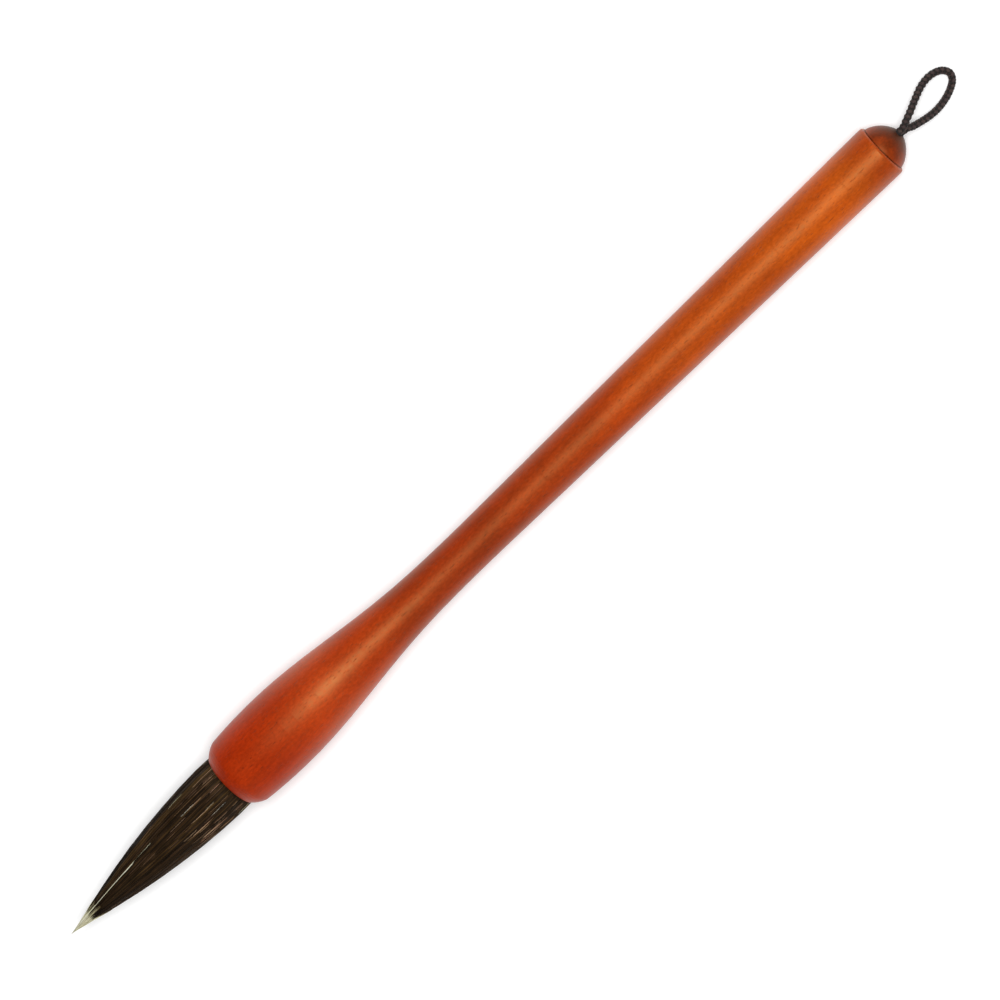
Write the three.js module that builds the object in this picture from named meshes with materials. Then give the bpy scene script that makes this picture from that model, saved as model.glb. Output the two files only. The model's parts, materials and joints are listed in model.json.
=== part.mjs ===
// Calligraphy brush: a turned wooden handle, a glued end cap with a hanging loop, and a bound hair tuft.
//
// Millimetres, +Z up. The brush lies on a desk along X, hair tip toward -X and end cap toward +X. The
// origin is on the desk under the middle of the brush, the hanging loop not counted.
//
// Turned pieces are drawn in the brush's own frame. Y is the axis of the brush and y = 0 is the mouth of
// the handle: the handle and the cap are at y > 0, and the free hair is at y < 0.

import * as THREE from 'three';

const { PI, sin, cos, sqrt, min, max, atan2 } = Math;

// ----------------------------------------------------------------------------------------------------
// Driving dimensions
// ----------------------------------------------------------------------------------------------------

const FACETS = 28; // flats round the handle, one of them facing down
const HAIR_FACETS = 24; // flats round the cap and the outer hair
const INNER_FACETS = 16; // flats round an inner turned piece
const FIT = 0.3; // clearance between pieces that touch

// Handle, turned from one piece of wood
const HANDLE_LENGTH = 245;
const LIP_WALL = 0.3; // wood round the socket, at the mouth
const SHOULDER_RADIUS = 10.74; // where the rounded lip ends
const SHOULDER_AT = 5;
const LIP_POWER = 1.8; // roundness of the lip
const BULB_RADIUS = 11.35;
const BULB_AT = 19.2;
const WAIST_RADIUS = 6.3;
const WAIST_AT = 96.4;
const FLANK_POWER = 3.5; // how soon the bulb draws in to the waist
const END_RADIUS = 7.87;
const SHAFT_POWER = 0.95; // how the shaft swells from the waist to the end, 1 is a straight taper
const END_EDGE = 0.9; // rounding of the cap end
const SOCKET_RADIUS = 8.15; // socket that holds the root of the tuft
const SOCKET_DEPTH = 25;

// End cap, turned from darker wood
const CAP_RADIUS = 6.9;
const CAP_HEIGHT = 6.3; // of the whole dome, before the cord hole cuts its top off
const DOME_SHOULDER = 1.5; // powers that shape the dome: 2 and 0.5 would be half an ellipse
const DOME_SIDE = 0.6;
const TENON_LENGTH = 9;

// Hair tuft
const TUFT_SWELL = 0.2; // the hair swells this much past the socket's radius as it leaves the mouth
const TUFT_LENGTH = 61; // free hair
const TUFT_POINT = 1.06; // power that draws the tuft to its point, 1 is a plain parabola
const COAT_SHARE = 0.8; // inside of the coat hair, as a share of the tuft's radius
const COAT_EXTRA = 0.15; // and this much further in
const TIP_SHOWING = 7; // bare tip of life hair past the end of the coat hair
const COAT_ROOT_WALL = 1.2; // coat hair round the bound core
const ROOT_DEPTH = 19; // root of the tuft inside the socket
const SEAL_THICKNESS = 1.6;
const THREAD = 0.5; // binding thread
const CORE_BINDING = { at: 13, turns: 4 }; // middle of each binding, inside the mouth, and its turns
const ROOT_BINDINGS = [
  { name: 'root_binding_front', at: 7, turns: 5 },
  { name: 'root_binding_rear', at: 16, turns: 5 },
];
const FLEX_AT = 20; // bending point of the tuft, from the mouth
const FLEX_ROOM = (52 * PI) / 180; // angle left free for bending either way

// Grades of core hair, from the middle outwards: share of the core's radius, and share of the free length
const CORE_GRADES = [
  { name: 'life_hair', across: 0.3, along: 1 },
  { name: 'throat_hair', across: 0.48, along: 0.75 },
  { name: 'belly_hair', across: 0.69, along: 0.64 },
  { name: 'waist_hair', across: 1, along: 0.51 },
];

// Cord
const CORD = 2.0; // diameter
const CORD_SIDES = 8;
const LOOP_STEPS = 30;
const STRAND_STEPS = 6;
const KNOT_STEPS = 16; // for each turn
const KNOT_TURNS = 2;
const KNOT_SLACK = 2; // free cord between the tenon and the knot
const TAIL_LENGTH = 1; // cord past the knot
const SWING_OFFSET = 1.7; // from the rim of the cord hole to the point the loop swings about

// Route of the loop from its swing point: x away from the cap, y to the side, z up. It leaves the cap in
// two strands, one over the other, opens to an eye and comes down to the desk at its far end.
const LOOP_ROUTE = [
  [0.2, 0.3, 1.12],
  [2.3, 1.1, 0.85],
  [4.4, 1.95, 0.2],
  [6.45, 2.95, -0.75],
  [8.4, 3.85, -1.9],
  [10.3, 4.65, -3.05],
  [12.3, 5.15, -4.2],
  [14.3, 5.2, -5.2],
  [16.2, 4.7, -6.0],
  [17.6, 3.75, -6.45],
  [18.35, 2.15, -6.62],
  [17.7, 0.5, -6.62],
  [16.1, -0.7, -6.6],
  [14.05, -1.6, -6.2],
  [12.0, -2.15, -5.5],
  [10.0, -2.42, -4.75],
  [8.0, -2.42, -3.95],
  [6.0, -2.15, -3.15],
  [4.0, -1.7, -2.4],
  [2.0, -1.15, -1.7],
  [0.2, -0.4, -1.12],
];

// ----------------------------------------------------------------------------------------------------
// Materials
// ----------------------------------------------------------------------------------------------------

const wood = () => new THREE.MeshStandardMaterial({ color: 0xb4420a, roughness: 0.35 });
const darkWood = () => new THREE.MeshStandardMaterial({ color: 0x6b1e00, roughness: 0.4 });
const cordFibre = () => new THREE.MeshStandardMaterial({ color: 0x2e2220, roughness: 0.9 });
const darkHair = () => new THREE.MeshStandardMaterial({ color: 0x3a2218, roughness: 0.6 });
const brownHair = () => new THREE.MeshStandardMaterial({ color: 0x6a4a34, roughness: 0.6 });
const paleHair = () => new THREE.MeshStandardMaterial({ color: 0xd8c8a8, roughness: 0.6 });
const thread = () => new THREE.MeshStandardMaterial({ color: 0xe6dfcf, roughness: 0.8 });
const rosin = () => new THREE.MeshStandardMaterial({ color: 0x2a1608, roughness: 0.3 });
const glue = () => new THREE.MeshStandardMaterial({ color: 0xc8a860, roughness: 0.25 });

// ----------------------------------------------------------------------------------------------------
// Shared shapes
// ----------------------------------------------------------------------------------------------------

// A turned piece from its outline of [radius, y] points, anticlockwise with the axis on the left. An
// outline that doesn't start on the axis is closed on itself.
function turned(name, outline, material, facets = INNER_FACETS) {
  const points = outline.map(([radius, y]) => new THREE.Vector2(radius, y));
  if (outline[0][0] > 0) points.push(points[0].clone());
  const mesh = new THREE.Mesh(new THREE.LatheGeometry(points, facets, PI / facets), material);
  mesh.name = name;
  return mesh;
}

// A round cord along a curve.
function cord(name, path, steps) {
  const section = new THREE.Shape();
  for (let side = 0; side < CORD_SIDES; side++) {
    const turn = (2 * PI * (side + 0.5)) / CORD_SIDES;
    const corner = [(CORD / 2) * cos(turn), (CORD / 2) * sin(turn)];
    if (side) section.lineTo(...corner);
    else section.moveTo(...corner);
  }
  const geometry = new THREE.ExtrudeGeometry(section, { steps, extrudePath: path });
  const mesh = new THREE.Mesh(geometry, cordFibre());
  mesh.name = name;
  return mesh;
}

// Values of a function at count + 1 even steps from one number to another.
function sampled(from, to, count, point) {
  return Array.from({ length: count + 1 }, (_, i) => point(from + ((to - from) * i) / count));
}

// ----------------------------------------------------------------------------------------------------
// Sizes that follow from the cord: the bore passes the knot, and is deep enough for the tenon and the knot
// ----------------------------------------------------------------------------------------------------

const strandOffset = CORD / 2 + FIT / 2; // each strand's centre from the axis
const cordHole = strandOffset + CORD / 2 + FIT;
const boreRadius = cordHole + CORD + FIT;
const knotPitch = CORD + FIT;
const knotLength = knotPitch * KNOT_TURNS + CORD;
const boreFloor = HANDLE_LENGTH - (TENON_LENGTH + KNOT_SLACK + knotLength + TAIL_LENGTH + FIT);

// ----------------------------------------------------------------------------------------------------
// Handle
// ----------------------------------------------------------------------------------------------------

const lipRadius = SOCKET_RADIUS + LIP_WALL;
const endEdgeAt = HANDLE_LENGTH - END_EDGE;

// Outside radius of the handle at a distance from the mouth.
function handleRadius(y) {
  if (y < SHOULDER_AT) {
    return SHOULDER_RADIUS - (SHOULDER_RADIUS - lipRadius) * (1 - y / SHOULDER_AT) ** LIP_POWER;
  }
  if (y < BULB_AT) {
    const t = (BULB_AT - y) / (BULB_AT - SHOULDER_AT);
    return BULB_RADIUS - (BULB_RADIUS - SHOULDER_RADIUS) * t ** 2;
  }
  if (y < WAIST_AT) {
    const t = (y - BULB_AT) / (WAIST_AT - BULB_AT);
    return WAIST_RADIUS + (BULB_RADIUS - WAIST_RADIUS) * cos((PI / 2) * t) ** FLANK_POWER;
  }
  const t = (y - WAIST_AT) / (endEdgeAt - WAIST_AT);
  return WAIST_RADIUS + (END_RADIUS - WAIST_RADIUS) * t ** SHAFT_POWER;
}

const onHandle = (y) => [handleRadius(y), y];

const handleOutside = [
  ...sampled(0, SHOULDER_AT, 6, onHandle),
  ...sampled(SHOULDER_AT, BULB_AT, 5, onHandle).slice(1),
  ...sampled(BULB_AT, WAIST_AT, 18, onHandle).slice(1),
  ...sampled(WAIST_AT, endEdgeAt, 12, onHandle).slice(1),
];

const endEdge = sampled(0, PI / 2, 4, (turn) => [
  END_RADIUS - END_EDGE * (1 - cos(turn)),
  endEdgeAt + END_EDGE * sin(turn),
]).slice(1);

function handle() {
  const outline = [
    [0, SOCKET_DEPTH],
    [SOCKET_RADIUS, SOCKET_DEPTH],
    [SOCKET_RADIUS, 0],
    ...handleOutside,
    ...endEdge,
    [boreRadius, HANDLE_LENGTH],
    [boreRadius, boreFloor],
    [0, boreFloor],
  ];
  return turned('handle', outline, wood(), FACETS);
}

// ----------------------------------------------------------------------------------------------------
// End cap, knot and cord ends
// ----------------------------------------------------------------------------------------------------

const capBase = HANDLE_LENGTH + FIT;

// Radius of the dome at a share of its height.
const domeRadius = (share) => CAP_RADIUS * (1 - share ** DOME_SHOULDER) ** DOME_SIDE;
const rimShare = (1 - (cordHole / CAP_RADIUS) ** (1 / DOME_SIDE)) ** (1 / DOME_SHOULDER);
const rimAt = capBase + CAP_HEIGHT * rimShare;

function endCap() {
  const tenonEnd = HANDLE_LENGTH - TENON_LENGTH;
  const tenonRadius = boreRadius - FIT;
  const outline = [
    [cordHole, tenonEnd],
    [tenonRadius, tenonEnd],
    [tenonRadius, capBase],
    ...sampled(0, rimShare, 9, (share) => [domeRadius(share), capBase + CAP_HEIGHT * share]),
  ];
  return turned('end_cap', outline, darkWood(), HAIR_FACETS);
}

const swingAt = rimAt + SWING_OFFSET;
const exitShift = max(LOOP_ROUTE[0][1], -LOOP_ROUTE.at(-1)[1]); // of a strand from the axis, sideways
const stubEnd = swingAt - CORD / 2 - exitShift - FIT; // the fixed strands end clear of the swinging ones
const tailEnd = boreFloor + FIT;

// A strand of the loop inside the cap: it comes in at the cord hole, runs through the knot and ends in a
// short tail.
function cordEnd(name, side) {
  const offset = side * strandOffset;
  const path = new THREE.LineCurve3(
    new THREE.Vector3(0, tailEnd, offset),
    new THREE.Vector3(0, stubEnd, offset),
  );
  return cord(name, path, STRAND_STEPS);
}

// The turns of the stopper knot round both strands, in the bore behind the tenon.
class KnotTurns extends THREE.Curve {
  getPoint(t, target = new THREE.Vector3()) {
    const radius = cordHole + CORD / 2;
    const turn = 2 * PI * KNOT_TURNS * t;
    const start = tailEnd + TAIL_LENGTH + CORD / 2;
    return target.set(radius * cos(turn), start + knotPitch * KNOT_TURNS * t, radius * sin(turn));
  }
}

// ----------------------------------------------------------------------------------------------------
// Hair tuft
// ----------------------------------------------------------------------------------------------------

// Outside radius of the tuft at a distance in front of the mouth.
const mouthRadius = SOCKET_RADIUS + TUFT_SWELL;
const tuftRadius = (out) => mouthRadius * (1 - (out / TUFT_LENGTH) ** 2) ** TUFT_POINT;
const onTuft = (out) => [tuftRadius(out), -out];

const coatInside = (out) => COAT_SHARE * tuftRadius(out) - COAT_EXTRA;
const underCoat = (out) => coatInside(out) - FIT;
const coatLength = TUFT_LENGTH - TIP_SHOWING;
const ballRadius = tuftRadius(FLEX_AT);
const cupRadius = ballRadius + FIT;

// The free hair starts on a ball round the bending point, so that it turns in the cup of the fixed hair.
const onBall = (radius) => [radius, -FLEX_AT + sqrt(ballRadius ** 2 - radius ** 2)];
const ballArc = (from, to) => sampled(from, to, 4, onBall);

// The fixed hair ends in a cup, and past its edge in a slope that the bent tuft lies along.
const cupEdge = cupRadius * cos(FLEX_ROOM);
const onCup = (radius) => [radius, -FLEX_AT + sqrt(cupRadius ** 2 - radius ** 2)];
function onSlope(radius) {
  const back = (cupRadius - radius * cos(FLEX_ROOM)) / sin(FLEX_ROOM);
  return [radius, -FLEX_AT + back];
}

// One grade of free core hair: a sleeve round the grade inside it, or the solid middle that forms the tip.
const gradeRadius = ({ across }) => across * underCoat(FLEX_AT);
function coreGrade(grade, within) {
  const { name } = grade;
  const length = TUFT_LENGTH * grade.along;
  const radius = gradeRadius(grade);
  const outside = (out) => min(radius, underCoat(out));
  if (!within) {
    const tipFrom = coatLength + FIT;
    return turned(name, [
      [0, -length],
      ...sampled(length, tipFrom, 5, onTuft).slice(1),
      ...sampled(tipFrom, FLEX_AT, 10, (out) => [outside(out), -out]),
      onBall(radius),
      [0, -FLEX_AT + ballRadius],
    ], paleHair());
  }
  const inside = gradeRadius(within) + FIT;
  return turned(name, [
    [inside, -length],
    ...sampled(length, FLEX_AT, 8, (out) => [outside(out), -out]),
    ...ballArc(radius, inside),
  ], brownHair());
}

function coatHair() {
  const inside = coatInside(FLEX_AT);
  return turned('coat_hair', [
    ...sampled(coatLength, FLEX_AT, 12, onTuft),
    ...ballArc(ballRadius, inside).slice(1),
    ...sampled(FLEX_AT, coatLength, 7, (out) => [coatInside(out), -out]),
  ], darkHair(), HAIR_FACETS);
}

const rootRadius = SOCKET_RADIUS - FIT;
const sleeveInside = rootRadius - COAT_ROOT_WALL;
const coreRootRadius = sleeveInside - FIT;

// The groove that a binding pulls into the hair, as outline points.
function groove(radius, { at, turns }) {
  const half = (turns * THREAD) / 2 + FIT;
  const floor = radius - THREAD - FIT;
  return [[radius, at - half], [floor, at - half], [floor, at + half], [radius, at + half]];
}

// A thread wound round the hair, its turns side by side.
function binding(name, outer, { at, turns }) {
  const start = at - (turns * THREAD) / 2;
  const middle = outer - THREAD / 2;
  const crown = (turn) => sampled(-PI / 2, PI / 2, 3, (angle) => [
    middle + (THREAD / 2) * cos(angle),
    start + THREAD * (turn + 0.5) + (THREAD / 2) * sin(angle),
  ]).slice(turn ? 1 : 0);
  const crowns = Array.from({ length: turns }, (_, turn) => crown(turn)).flat();
  const inner = outer - THREAD;
  return turned(name, [[inner, start], ...crowns, [inner, start + turns * THREAD]], thread());
}

// The core hairs' bound root and its first free stretch, up to the cup.
function coreRoot() {
  return turned('core_root', [
    onCup(0),
    ...sampled(0, cupEdge, 6, onCup).slice(1),
    onSlope(coreRootRadius),
    ...groove(coreRootRadius, CORE_BINDING),
    [coreRootRadius, ROOT_DEPTH],
    [0, ROOT_DEPTH],
  ], brownHair());
}

// The coat hairs' root, a sleeve round the core, swelling where it leaves the socket. The slope of the
// cup meets the outside of the tuft about half a ball's radius before the bending point.
function coatRoot() {
  const slopeTop = onSlope(tuftRadius(FLEX_AT - ballRadius / 2));
  return turned('coat_root', [
    onSlope(sleeveInside),
    slopeTop,
    ...sampled(-slopeTop[1], FIT, 7, onTuft).slice(1),
    [rootRadius, -FIT],
    ...ROOT_BINDINGS.flatMap((place) => groove(rootRadius, place)),
    [rootRadius, ROOT_DEPTH],
    [sleeveInside, ROOT_DEPTH],
  ], darkHair(), HAIR_FACETS);
}

// The seared root, sealed with rosin.
function rootSeal() {
  const from = ROOT_DEPTH + FIT;
  const to = from + SEAL_THICKNESS;
  return turned('root_seal', [[0, from], [rootRadius, from], [rootRadius, to], [0, to]], rosin());
}

// The glue that sets the tuft in the socket, behind the seal.
function socketGlue() {
  const from = ROOT_DEPTH + SEAL_THICKNESS + 2 * FIT;
  const to = SOCKET_DEPTH - FIT;
  return turned('socket_glue', [[0, from], [rootRadius, from], [rootRadius, to], [0, to]], glue());
}

// ----------------------------------------------------------------------------------------------------
// Assembly
// ----------------------------------------------------------------------------------------------------

// Turned pieces, with the brush's axis along X and the mouth at the origin.
const pieces = new THREE.Group();
pieces.rotation.z = -PI / 2;
pieces.add(handle(), endCap(), cordEnd('loop_end_upper', 1), cordEnd('loop_end_lower', -1));
pieces.add(cord('loop_knot', new KnotTurns(), KNOT_STEPS * KNOT_TURNS));
CORE_GRADES.forEach((grade, i) => pieces.add(coreGrade(grade, CORE_GRADES[i - 1])));
pieces.add(coatHair(), coreRoot(), coatRoot(), rootSeal(), socketGlue());
pieces.add(binding('core_binding', coreRootRadius, CORE_BINDING));
ROOT_BINDINGS.forEach((place) => pieces.add(binding(place.name, rootRadius, place)));

// The brush rests on its bulb and on the cap end of its handle, so its axis dips toward the cap.
const flat = cos(PI / FACETS); // a flat's distance from the axis, as a share of the radius
const dips = handleOutside.map(([radius, y]) => atan2((radius - END_RADIUS) * flat, endEdgeAt - y));
const dip = max(0, ...dips.slice(0, -1));
const lying = new THREE.Group();
lying.rotation.y = dip;
lying.add(pieces);

// The origin: under the middle of everything but the loop, on the desk.
const group = new THREE.Group();
group.add(lying);
group.updateMatrixWorld(true);
const extent = new THREE.Box3().setFromObject(lying, true);
const middle = extent.getCenter(new THREE.Vector3());
lying.position.set(-middle.x, 0, -extent.min.z);

// The loop swings about an upright axis just outside the cord hole.
const swing = new THREE.Group();
swing.position.set(swingAt * cos(dip), 0, -swingAt * sin(dip)).add(lying.position);
const route = new THREE.CatmullRomCurve3(LOOP_ROUTE.map((point) => new THREE.Vector3(...point)));
swing.add(cord('hanging_loop', route, LOOP_STEPS));
group.add(swing);

export default group;
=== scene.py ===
# %% [markdown]
# # A calligraphy brush
#
# The brush has a turned and lacquered handle, a dark cap glued in its end, a braided loop to hang it by,
# and a tuft of dark coat hair round a pale life hair that shows at the tip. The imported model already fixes
# where each piece is and how it moves. Here each piece gets its fine surface and its finish.
#
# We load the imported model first. Nothing in it may be moved, so every new piece is made in its place.

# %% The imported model
import json
import math

import bpy
import numpy as np
from mathutils import Matrix, Vector


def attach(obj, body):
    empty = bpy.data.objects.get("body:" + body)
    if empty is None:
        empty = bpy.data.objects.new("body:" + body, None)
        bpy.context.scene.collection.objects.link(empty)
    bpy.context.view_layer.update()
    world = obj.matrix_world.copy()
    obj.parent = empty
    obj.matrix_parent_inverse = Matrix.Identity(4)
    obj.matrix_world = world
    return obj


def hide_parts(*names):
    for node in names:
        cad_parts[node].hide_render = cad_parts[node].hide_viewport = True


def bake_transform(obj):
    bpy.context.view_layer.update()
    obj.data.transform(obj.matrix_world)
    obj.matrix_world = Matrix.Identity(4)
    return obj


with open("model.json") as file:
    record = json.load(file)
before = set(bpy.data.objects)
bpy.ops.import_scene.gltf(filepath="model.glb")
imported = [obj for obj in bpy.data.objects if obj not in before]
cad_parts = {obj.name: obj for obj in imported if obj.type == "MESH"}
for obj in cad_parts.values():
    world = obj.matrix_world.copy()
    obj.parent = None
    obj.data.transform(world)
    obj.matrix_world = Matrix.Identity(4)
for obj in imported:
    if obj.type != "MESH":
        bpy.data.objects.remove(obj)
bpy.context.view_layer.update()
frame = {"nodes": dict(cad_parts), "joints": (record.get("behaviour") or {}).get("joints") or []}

# %% [markdown]
# ## The line of the brush
#
# The brush lies on a desk and dips a little towards its cap, so its axis isn't the world's X axis. Turned
# pieces are far easier to draw along a straight line from the origin. So we draw each one along X, with
# the mouth of the handle at the origin, and then carry its mesh to its place with one matrix.
#
# Both joints have their pivots on the axis, which gives us its direction, and the bending point of the
# tuft is a known way in front of the mouth.

# %% The axis, the mouth and the way between the two frames
MM = 0.001
BEND_AT = 20 * MM  # the bending point of the tuft, in front of the mouth

pivots = {joint["name"]: Vector(joint["pos_m"]) for joint in frame["joints"]}
along = (pivots["loop_swing"] - pivots["tuft_flex"]).normalized()
mouth = pivots["tuft_flex"] + BEND_AT * along
aside = Vector((0, 1, 0))
to_world = Matrix((along, aside, along.cross(aside))).transposed().to_4x4()
to_world.translation = mouth
to_brush = to_world.inverted()


def on_axis(station):
    """The point of the axis at a distance behind the mouth, negative in front of it."""
    return to_world @ Vector((station, 0, 0))


print("mouth at", [round(c / MM, 2) for c in mouth], "mm, dip",
      round(math.degrees(math.atan2(-along.z, along.x)), 3), "degrees")

# %% [markdown]
# ## Camera
#
# The brush is seen from almost straight above with a long lens, its tuft at the lower left and its loop
# at the upper right. We place the camera by what it should see. It stands over a point near the middle of
# the handle, leans towards the cap end, aims a little to the side of that point, and is then rolled so
# that the brush runs along the diagonal of the view.

# %% The camera
CAMERA_AWAY = 1.5
CAMERA_LEAN = math.radians(11.24)
CAMERA_OVER = 122.2 * MM
AIM_BACK = 15.09 * MM
AIM_ASIDE = 3.68 * MM
ROLL = math.radians(44.08)
LENS, SENSOR = 203.6, 36
SEES_TO = 10  # metres


def look(eye, target, upright):
    """A camera's matrix, from its place, what it looks at, and the direction that is up in its view."""
    back = (eye - target).normalized()
    right = upright.cross(back).normalized()
    matrix = Matrix((right, back.cross(right), back)).transposed().to_4x4()
    matrix.translation = eye
    return matrix


over = on_axis(CAMERA_OVER)
eye = over + CAMERA_AWAY * Vector((math.sin(CAMERA_LEAN), 0, math.cos(CAMERA_LEAN)))
target = over - AIM_BACK * along + AIM_ASIDE * aside
gaze = (target - eye).normalized()
across_view = (along - gaze * along.dot(gaze)).normalized()
up_view = (-gaze).cross(across_view)
upright = math.sin(ROLL) * across_view + math.cos(ROLL) * up_view

bpy.ops.object.select_all(action="DESELECT")
bpy.ops.object.camera_add()
camera = bpy.context.object
camera.name = "camera"
camera.matrix_world = look(eye, target, upright)
camera.data.lens, camera.data.sensor_width = LENS, SENSOR
camera.data.clip_end = SEES_TO
bpy.context.scene.camera = camera
print("camera at", [round(c, 3) for c in eye], "with a", LENS, "mm lens")

# %% [markdown]
# ## Floor and light
#
# The brush lies on a white sweep under one big soft box. The soft box stands behind the camera, so its
# reflection is a broad soft band down the middle of each round piece. The pale surroundings reflect in
# the steep flanks and make the milky edges of the lacquer.
#
# We use one large area light, a weak one beside each end, and a pale world. The sweep glows a little, as
# paper lit from behind does, which thins the shadow. The Standard view keeps the colours that we mix,
# where the default one would grey them.

# %% The floor and the lights
FLOOR_SIZE = 6
WORLD_STRENGTH = 0.28
SOFT_BOX = {"size": 0.85, "power": 28, "away": 1.75}
EDGE_LIGHTS = {"tuft_end_light": (-0.7, -0.9, 0.6), "cap_end_light": (0.9, 0.5, 0.7)}
EDGE_SIZE, EDGE_POWER = 0.8, 1.3
FLOOR_GLOW = 0.16


def paint(code):
    """A display colour such as "B4420A" as the linear RGBA that a socket wants."""
    shown = [int(code[i:i + 2], 16) / 255 for i in (0, 2, 4)]
    return (*(c / 12.92 if c <= 0.04045 else ((c + 0.055) / 1.055)**2.4 for c in shown), 1)


def new_finish(name, **settings):
    """A material with one Principled surface. Plain settings go straight on the surface's sockets."""
    material = bpy.data.materials.new(name)
    material.use_nodes = True
    surface = material.node_tree.nodes["Principled BSDF"]
    for socket, value in settings.items():
        surface.inputs[socket.replace("_", " ")].default_value = value
    return material, material.node_tree, surface


def area_light(name, place, aim, size, power):
    bpy.ops.object.light_add(type="AREA", location=place)
    light = bpy.context.object
    light.name = name
    light.rotation_euler = (aim - place).to_track_quat("-Z", "Y").to_euler()
    light.data.shape, light.data.size, light.data.energy = "SQUARE", size, power


bpy.ops.mesh.primitive_plane_add(size=FLOOR_SIZE, location=(0, 0, 0))
floor = bpy.context.object
floor.name = "floor"
floor_finish, _, _ = new_finish("white_sweep", Base_Color=paint("F4F4F4"), Roughness=0.95,
                                Emission_Color=paint("FFFFFF"), Emission_Strength=FLOOR_GLOW)
floor.data.materials.append(floor_finish)

area_light("soft_box", over + SOFT_BOX["away"] * (eye - over).normalized(), over,
           SOFT_BOX["size"], SOFT_BOX["power"])
for name, place in EDGE_LIGHTS.items():
    area_light(name, Vector(place), over, EDGE_SIZE, EDGE_POWER)

world = bpy.data.worlds.new("studio")
bpy.context.scene.world = world
world.use_nodes = True
background = world.node_tree.nodes["Background"]
background.inputs["Color"].default_value = paint("FFFFFF")
background.inputs["Strength"].default_value = WORLD_STRENGTH
bpy.context.scene.view_settings.view_transform = "Standard"
print("soft box", SOFT_BOX, "world", WORLD_STRENGTH)

# %% [markdown]
# ## Helpers for pieces and finishes
#
# Every operator of Blender works on what is selected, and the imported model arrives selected. So we always
# pick one piece by name first. A node of a finish is one line with its settings and what it reads.

# %% Helpers
BRUSH_TURN = to_world.to_euler()


def pick(piece):
    """Selects one piece and nothing else."""
    bpy.ops.object.select_all(action="DESELECT")
    piece.select_set(True)
    bpy.context.view_layer.objects.active = piece


def set_down(piece, name, finish):
    """Carries a piece drawn along X to its place in the brush, and leaves its object at the origin."""
    piece.name = piece.data.name = name
    piece.matrix_world = to_world @ piece.matrix_world
    pick(piece)
    bpy.ops.object.transform_apply(location=True, rotation=True, scale=True)
    piece.data.materials.clear()
    piece.data.materials.append(finish)
    return piece


def report(piece):
    low, high = (np.array(f([v.co for v in piece.data.vertices], axis=0)) for f in (np.min, np.max))
    print(f"{piece.name}: {len(piece.data.polygons)} faces,",
          "x".join(f"{side / MM:.2f}" for side in high - low), "mm")


def node(tree, kind, settings=None, **sockets):
    """Adds a shader node. A socket is given a value, or the output that it reads."""
    made = tree.nodes.new("ShaderNode" + kind)
    for name, value in (settings or {}).items():
        setattr(made, name, value)
    for name, value in sockets.items():
        socket = made.inputs[name.replace("_", " ")]
        if isinstance(value, bpy.types.NodeSocket):
            tree.links.new(value, socket)
        else:
            socket.default_value = value
    return made


def ramp(tree, reading, stops):
    """Colours along a reading from 0 to 1, as (place, display colour) stops."""
    made = node(tree, "ValToRGB", Fac=reading)
    elements = made.color_ramp.elements
    while len(elements) < len(stops):
        elements.new(0.5)
    for element, (place, code) in zip(elements, stops):
        element.position, element.color = place, paint(code)
    return made.outputs["Color"]


def blended(tree, kind, share, one, other):
    """Mixes two colours in one of Blender's ways, by a share that is a number or an output."""
    made = node(tree, "MixRGB", {"blend_type": kind}, Fac=share, Color1=one, Color2=other)
    return made.outputs["Color"]


def ranged(tree, reading, low, high, to_low=0.0, to_high=1.0):
    """A reading from low to high as a number from to_low to to_high, held at both ends."""
    made = node(tree, "MapRange", Value=reading, From_Min=low, From_Max=high,
                To_Min=to_low, To_Max=to_high)
    return made.outputs["Result"]


def brush_place(tree, stretch=(1, 1, 1)):
    """Where a point is in the brush, in millimetres along X from the mouth, then stretched."""
    world_place = node(tree, "TexCoord").outputs["Object"]
    in_brush = node(tree, "Mapping", {"vector_type": "TEXTURE"}, Vector=world_place,
                    Location=mouth, Rotation=BRUSH_TURN, Scale=(MM, MM, MM))
    return node(tree, "Mapping", Vector=in_brush.outputs["Vector"], Scale=stretch).outputs["Vector"]


def noise(tree, place, scale, detail=2.0, roughness=0.5):
    return node(tree, "TexNoise", Vector=place, Scale=scale, Detail=detail,
                Roughness=roughness).outputs["Fac"]


def raised(tree, surface, height, distance):
    """Bumps of a height from 0 to 1 times a distance, on a surface."""
    bump = node(tree, "Bump", Height=height, Distance=distance)
    tree.links.new(bump.outputs["Normal"], surface.inputs["Normal"])


print("finishes read places in the brush, turned by", [round(angle, 4) for angle in BRUSH_TURN])

# %% [markdown]
# ## The cord's finish
#
# The loop is a thin braid of near-black brown yarn. Its yarns are slightly hairy and dull, and some are
# more purple and some more olive. The yarns that turn one way are painted lighter than the others, as a
# painted highlight on the top of each crossing. The colour of a yarn comes from an attribute that we write
# with the mesh, and the fine fibres are lines along the yarn, drawn in the yarn's own UV map.

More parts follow.
